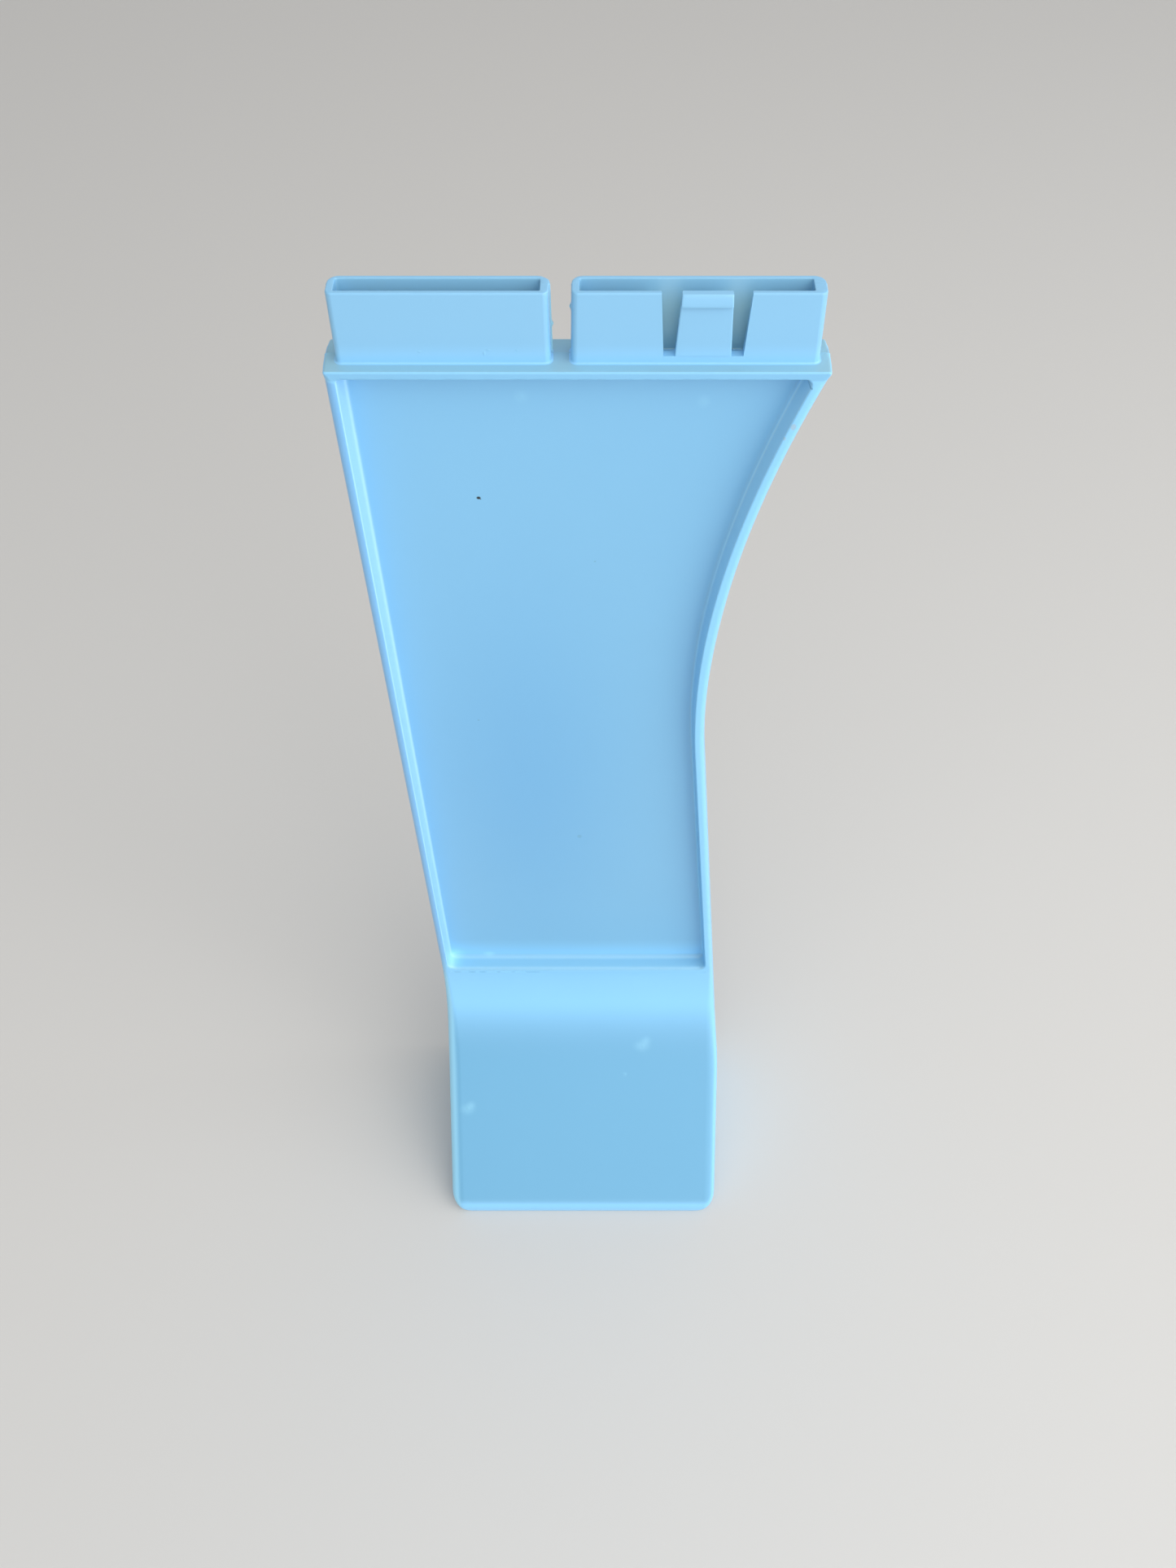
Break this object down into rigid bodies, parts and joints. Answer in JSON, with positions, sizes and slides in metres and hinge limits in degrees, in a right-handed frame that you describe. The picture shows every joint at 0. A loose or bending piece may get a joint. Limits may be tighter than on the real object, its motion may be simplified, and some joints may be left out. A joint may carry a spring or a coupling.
{
  "type": "hair dryer holder",
  "caption": "Clip-in hair dryer holder: necked recessed arm with a turned-out lip and hollow foot, a seat flange and two hollow plugs with a snap tongue.",
  "frame": {"origin": "on the flange's seat face, midway between the two plugs", "axes": "+Z is the way the plugs point, -Y is the face the dryer lies on and the way the lip turns out, +X is towards the plug with the snap tongue"},
  "size_m": [0.0861, 0.0588, 0.2976],
  "materials": {
    "holder_plastic": "semi-gloss injection-moulded light blue"
  },
  "bodies": {
    "holder": {"arm_panel": "holder_plastic", "end_foot": "holder_plastic", "mount_flange": "holder_plastic", "left_plug": "holder_plastic", "right_plug": "holder_plastic"},
    "latch": {"latch_tongue": "holder_plastic"}
  },
  "joints": [
    {"name": "latch_flex", "type": "hinge", "parent": "holder", "child": "latch", "pos_m": [0.0235, -0.00165, 0.00155], "axis": [-1, 0, 0], "range_deg": [0, 6]}
  ]
}
